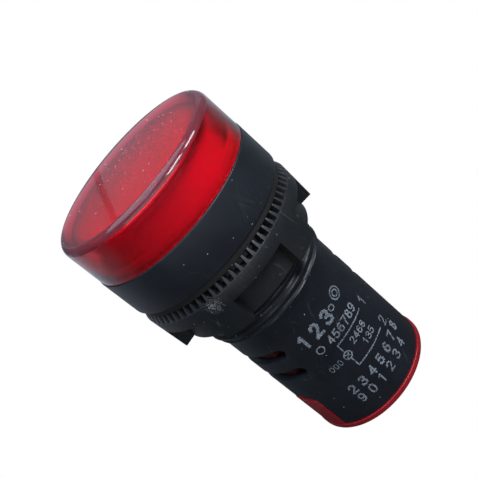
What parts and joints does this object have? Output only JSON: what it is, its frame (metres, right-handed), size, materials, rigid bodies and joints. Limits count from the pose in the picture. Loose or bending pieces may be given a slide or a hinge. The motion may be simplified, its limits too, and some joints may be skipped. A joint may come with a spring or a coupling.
{
  "type": "panel pilot light",
  "caption": "Round panel pilot light with a flat red lens, black bezel and threaded barrel, toothed ring nut and rear screw terminals.",
  "frame": {"origin": "centre of the bezel's seat on the panel's front face", "axes": "+Z out of the panel through the lens, -Y towards the side of the barrel that is printed, +X and -X through the two snap tongues and the two terminals"},
  "size_m": [0.029, 0.029, 0.0516],
  "materials": {
    "black_moulding": "satin black moulding, fine grain",
    "red_lens": "clear red moulding, polished",
    "red_diffuser": "milky red moulding",
    "gasket_rubber": "matt black rubber",
    "black_nut": "satin black moulding",
    "red_block": "solid red moulding",
    "terminal_brass": "stamped, dull",
    "plated_steel": "zinc plated",
    "screw_steel": "zinc plated",
    "lamp_board": "white solder mask",
    "lamp_dome": "red epoxy",
    "driver_laminate": "green solder mask",
    "pin_brass": "tinned",
    "film_case": "moulded box",
    "can_sleeve": "shrunk sleeve",
    "package_black": "moulded epoxy",
    "resistor_tan": "lacquered",
    "resistor_blue": "lacquered"
  },
  "bodies": {
    "case": {"housing": "black_moulding", "lens_cap": "red_lens", "diffuser": "red_diffuser", "terminal_base": "red_block", "terminal_plate_1": "terminal_brass", "terminal_plate_2": "terminal_brass", "led_board": "lamp_board", "led_1": "lamp_dome", "led_2": "lamp_dome", "led_3": "lamp_dome", "led_4": "lamp_dome", "led_5": "lamp_dome", "led_6": "lamp_dome", "driver_board": "driver_laminate", "link_pins": "pin_brass", "dropper_capacitor": "film_case", "smoothing_capacitor": "can_sleeve", "bridge_rectifier": "package_black", "limiting_resistor": "resistor_tan", "bleed_resistor": "resistor_blue"},
    "gasket": {"panel_gasket": "gasket_rubber"},
    "nut": {"ring_nut": "black_nut"},
    "clamp_1": {"clamp_washer_1": "plated_steel"},
    "screw_1": {"terminal_screw_1": "screw_steel"},
    "clamp_2": {"clamp_washer_2": "plated_steel"},
    "screw_2": {"terminal_screw_2": "screw_steel"}
  },
  "joints": [
    {"name": "nut_travel", "type": "slide", "parent": "case", "child": "gasket", "axis": [0, 0, -1], "range_m": [0, 0.0075]},
    {"name": "nut_turn", "type": "hinge", "parent": "gasket", "child": "nut", "pos_m": [0, 0, -0.005], "axis": [0, 0, -1], "range_deg": [0, 1800]},
    {"name": "clamp_1_lift", "type": "slide", "parent": "case", "child": "clamp_1", "axis": [0, 0, -1], "range_m": [0, 0.002]},
    {"name": "screw_1_turn", "type": "hinge", "parent": "clamp_1", "child": "screw_1", "pos_m": [0.0041, 0, -0.033], "axis": [0, 0, -1], "range_deg": [0, 1440]},
    {"name": "clamp_2_lift", "type": "slide", "parent": "case", "child": "clamp_2", "axis": [0, 0, -1], "range_m": [0, 0.002]},
    {"name": "screw_2_turn", "type": "hinge", "parent": "clamp_2", "child": "screw_2", "pos_m": [-0.0041, 0, -0.033], "axis": [0, 0, -1], "range_deg": [0, 1440]}
  ],
  "couplings": [
    {"joint": "nut_turn", "follows": "nut_travel", "rad_per_m": 4188.8},
    {"joint": "screw_1_turn", "follows": "clamp_1_lift", "rad_per_m": 12566},
    {"joint": "screw_2_turn", "follows": "clamp_2_lift", "rad_per_m": 12566}
  ]
}
